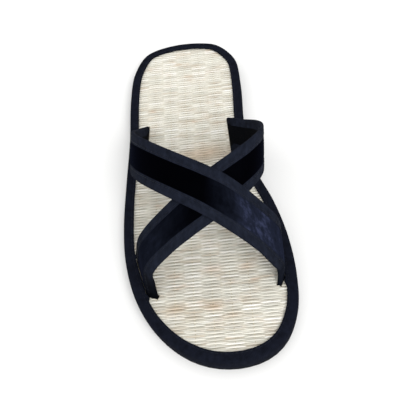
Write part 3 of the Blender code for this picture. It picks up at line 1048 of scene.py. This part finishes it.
# The painted sheen, mottled by noise, lifts the pile ramp from black towards blue.
work_out(tree, known, (
    ("mottle", "MULTIPLY_ADD", "sheen_mottle", 1.5, -0.75), ("fleck", "MULTIPLY_ADD", "tufts", 1.1, -0.55),
    ("marks", "ADD", "mottle", "fleck"), ("marked", "MULTIPLY_ADD", "marks", "painted_light", "painted_light")))
pile = fill_ramp(add_node(tree, "ShaderNodeValToRGB", {"Fac": known["marked"]}), (
    (0.00, "#010102"), (0.18, "#05060b"), (0.45, "#10131c"), (0.75, "#1b1f2d"), (1.00, "#2f344a")))
bump = add_node(tree, "ShaderNodeBump", {"Strength": 0.5, "Distance": 0.0003, "Height": tip.outputs["Fac"]})
feed(tree, shader, {"Base Color": pile, "Normal": bump})

lining, tree, shader = new_material("black_cotton_lining", "#050609", 0.9, {"Specular IOR Level": 0.02})
place = add_node(tree, "ShaderNodeUVMap", {"uv_map": "cloth"})
twill_map = add_node(tree, "ShaderNodeMapping", {
    "Rotation": (0.0, 0.0, math.radians(45)), "Vector": place})
twill = add_node(tree, "ShaderNodeTexWave", {
    "wave_type": "BANDS", "bands_direction": "X", "Scale": band_scale(0.0007), "Distortion": 0.5,
    "Vector": twill_map})
shades = fill_ramp(add_node(tree, "ShaderNodeValToRGB", {"Fac": twill.outputs["Fac"]}), (
    (0.2, "#030406"), (0.8, "#090a0e")))
bump = add_node(tree, "ShaderNodeBump", {
    "Strength": 0.4, "Distance": 0.0002, "Height": twill.outputs["Fac"]})
feed(tree, shader, {"Base Color": shades, "Normal": bump})

# %% Reading a strap anywhere on its run
COARSE_STATIONS = 57
FINE_STATIONS = 228
SOFT_HEIGHT = 0.00025
SOFT_STEP = 0.055
SOFT_ACROSS = 20
SOFT_SEED = 1.7
SOFT_ENDS = 8


def strap_stations(table):
    """Gives, at each fine step, a strap's middle, way across, outward side, front turn and true width."""
    middles, ways = strap_places(table)
    turns = [Vector((row[6], 0.0, 0.0)) for row in table]
    nudge = 0.5 / COARSE_STATIONS
    outwards = []
    aheads = []
    for number in range(COARSE_STATIONS + 1):
        share = number / COARSE_STATIONS
        ahead = (curve_through(middles, min(share + nudge, 1.0))
                 - curve_through(middles, max(share - nudge, 0.0))).normalized()
        if number == 0:
            ahead = Vector((0.0, 0.0, 1.0))
        if number == COARSE_STATIONS:
            ahead = Vector((0.0, 0.0, -1.0))
        aheads.append(ahead)
        outwards.append(outward_side(table, ahead, curve_through(ways, share)))
    stations = []
    for number in range(FINE_STATIONS + 1):
        share = number / FINE_STATIONS
        place = share * COARSE_STATIONS
        index = min(int(place), COARSE_STATIONS - 1)
        outward = outwards[index].lerp(outwards[index + 1], place - index).normalized()
        ahead = aheads[index].lerp(aheads[index + 1], place - index).normalized()
        way = curve_through(ways, share)
        turn = math.radians(curve_through(turns, share).x)
        width = (way - ahead * way.dot(ahead)).length
        stations.append((curve_through(middles, share), way, outward, turn, width))
    return stations


def strap_rings(stations, section_at):
    """Carries a section along a strap, and straight down into the slots at both ends."""
    rings = []
    for number, (middle, way, outward, turn, width) in enumerate(stations):
        share = number / FINE_STATIONS
        soft = noise.noise(Vector((number * SOFT_STEP, middle.x * SOFT_ACROSS, SOFT_SEED))) * SOFT_HEIGHT
        soft *= min(1.0, share * SOFT_ENDS, (1 - share) * SOFT_ENDS)
        rings.append([folded_point(middle, way, outward, turn, TAPE_WIDTH / width, place, height + soft)
                      for place, height in section_at(width)])
    drop = Vector((0.0, 0.0, -(STRAP_COLLAR + ROOT_DEPTH)))
    return [[point + drop for point in rings[0]]] + rings + [[point + drop for point in rings[-1]]]


# %% The sections of velvet, lining and tape
HALF_TAPE = HALF_PANEL + TAPE_STEP
PANEL_CROWN = 0.00045
CROWN_FLATNESS = 4
CROWN_FULLNESS = 0.8
VELVET_SINK = 0.00012
FILLER_BOTTOM = -0.0005
LINING_TOP = -0.00055
OVERLAP = 0.0001
TUCK = 0.0007
ACROSS_STEPS = 14
FOLD_DEPTH = 0.0009
FOLD_STEPS = 6
INNER_FOLD = 0.0003
INNER_FOLD_START = 0.4
INNER_FOLD_END = 0.9
TAPE_CROWN = 0.00008
SEAM_BACK = 0.0011
# Columns: distance back from the tape's inner edge, height over the tape's face. The seam lies in a dip.
TAPE_FACE = (
    (0.0, -0.00008),
    (0.0004, 0.0),
    (SEAM_BACK, -0.00008),
    (0.0018, 0.00004),
)


def velvet_section(width):
    """The velvet and its filler: crowned on top, pulled down along the seams of the tapes."""
    edge = (TAPE_WIDTH - TUCK) / width
    points = []
    for step in range(ACROSS_STEPS + 1):
        part = step / ACROSS_STEPS
        bulge = (1 - (2 * part - 1) ** CROWN_FLATNESS) ** CROWN_FULLNESS
        height = HALF_PANEL - VELVET_SINK + (PANEL_CROWN + VELVET_SINK) * bulge
        points.append((edge + (1 - 2 * edge) * part, height))
    return points + [(place, FILLER_BOTTOM) for place in (1 - edge, 0.5, edge)]


def lining_section(width):
    """The lining: a thin flat cloth on the inner side."""
    edge = (TAPE_WIDTH - TUCK) / width
    inner = [(place, -HALF_PANEL - OVERLAP) for place in (edge, 0.5, 1 - edge)]
    return inner + [(place, LINING_TOP) for place in (1 - edge, 0.5, edge)]


def front_tape_section(width):
    """A tape folded over the front edge."""
    reach = TAPE_WIDTH / width
    fold = FOLD_DEPTH / width
    points = [(reach, HALF_PANEL - OVERLAP)]
    points += [(reach - back / width, HALF_TAPE + rise) for back, rise in TAPE_FACE]
    points.append((reach * 0.5, HALF_TAPE + TAPE_CROWN))
    for step in range(FOLD_STEPS + 1):
        turn = math.radians(90 - 180 * step / FOLD_STEPS)
        points.append((fold * (1 - math.cos(turn)), HALF_TAPE * math.sin(turn)))
    points += [(reach * 0.5, -HALF_TAPE), (reach, -HALF_TAPE), (reach, -HALF_PANEL + OVERLAP)]
    start = reach * INNER_FOLD_START
    end = fold * INNER_FOLD_END
    return points + [(start, -HALF_PANEL + OVERLAP), (end, -INNER_FOLD), (end, INNER_FOLD),
                     (start, HALF_PANEL - OVERLAP)]


def rear_tape_section(width):
    """The same tape over the rear edge."""
    return [(1 - place, height) for place, height in front_tape_section(width)]


# %% Painted sheen on the velvet, and painted shade on the tape
# Columns: share of the strap's run, painted sheen from 0 (black) to 1 (brightest)
OVER_PAINTED_SHEEN = ((0.0, 0.25), (0.07, 0.05), (0.38, 0.02), (0.55, 0.03), (0.605, 0.27), (0.64, 0.38), (0.69, 0.80),
            (0.75, 0.80), (0.82, 0.62), (1.0, 0.45))
UNDER_PAINTED_SHEEN = ((0.0, 0.10), (0.27, 0.05), (0.41, 0.02), (0.56, 0.08), (0.64, 0.05), (0.70, 0.22), (0.77, 0.44),
             (0.86, 0.32), (0.94, 0.12), (1.0, 0.08))
# Columns: share of the run, painted shade as a factor on the tape's colour, lower towards the dark ends
OVER_PAINTED_SHADE = ((0.0, 0.6), (0.06, 1.0), (0.82, 1.0), (0.92, 0.70), (1.0, 0.55))
UNDER_PAINTED_SHADE = ((0.0, 0.6), (0.06, 1.0), (0.78, 1.0), (0.89, 0.35), (1.0, 0.15))


def read_table(table, share):
    """Reads a two-column table at a place, with soft steps between its rows."""
    for (low, first), (high, second) in zip(table, table[1:]):
        if share <= high:
            part = (share - low) / (high - low)
            part = part * part * (3 - 2 * part)
            return first + (second - first) * part
    return table[-1][1]


# %% Sewing both straps
SEAM_TRIM = 6
SEAM_SINK = 0.00002
STRAP_THREAD = 0.00034
STRAPS = (
    ("over_strap", OVER_STRAP, OVER_PAINTED_SHEEN, OVER_PAINTED_SHADE),
    ("under_strap", UNDER_STRAP, UNDER_PAINTED_SHEEN, UNDER_PAINTED_SHADE),
)

for strap_name, table, painted_sheen_table, painted_shade_table in STRAPS:
    stations = strap_stations(table)
    usual_width = sum(station[4] for station in stations) / len(stations)
    for layer, section_at, cloth, painted_light_table in (
            ("velvet", velvet_section, velvet, painted_sheen_table),
            ("lining", lining_section, lining, None),
            ("front_tape", front_tape_section, strap_tape_cloth, painted_shade_table),
            ("rear_tape", rear_tape_section, strap_tape_cloth, painted_shade_table)):
        rings = strap_rings(stations, section_at)
        flat = [Vector((place * usual_width, height)) for place, height in section_at(usual_width)]
        painted_lights = None
        # Each layer with a table gets a value on every point: painted sheen on the velvet, painted shade on
        # the tapes.
        if painted_light_table:
            painted_lights = []
            for number, ring in enumerate(rings):
                painted_lights += [read_table(painted_light_table, number / (len(rings) - 1))] * len(ring)
        mesh = skin_rings(f"{strap_name}_{layer}", rings, way_round(flat), painted_lights=painted_lights)
        place_piece(f"{strap_name}_{layer}", mesh, cloth, "upper")
    seams = []
    for side in (0, 1):
        seam = []
        for middle, way, outward, turn, width in stations[SEAM_TRIM:-SEAM_TRIM]:
            place = abs(side - (TAPE_WIDTH - SEAM_BACK) / width)
            seam.append(folded_point(middle, way, outward, turn, TAPE_WIDTH / width, place,
                                     HALF_TAPE - SEAM_SINK))
        seams.append(seam)
    stitches = sew(f"{strap_name}_stitches", seams, STRAP_THREAD, "upper")

# %% [markdown]
# ## The foam rubber sole
# The sole is moulded foam rubber: matt, black, with a fine leathery grain on its side. Its solid has the
# right shape already, so it stays and only takes this finish.

# %% The finish of the sole
rubber, tree, shader = speckled_material(
    "moulded_foam_rubber", "#101218", roughness=0.85, shine=0.08, scale=400.0, detail=3.0,
    stops=((0.3, "#0c0e13"), (0.7, "#151820")))
place = add_node(tree, "ShaderNodeTexCoord")
cells = add_node(tree, "ShaderNodeTexVoronoi", {"Scale": 900.0, "Vector": place.outputs["Object"]})
bump = add_node(tree, "ShaderNodeBump", {
    "Strength": 0.5, "Distance": 0.0003, "Height": cells.outputs["Distance"]})
feed(tree, shader, {"Normal": bump})
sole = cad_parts["outsole"]
sole.data.materials.clear()
sole.data.materials.append(rubber)
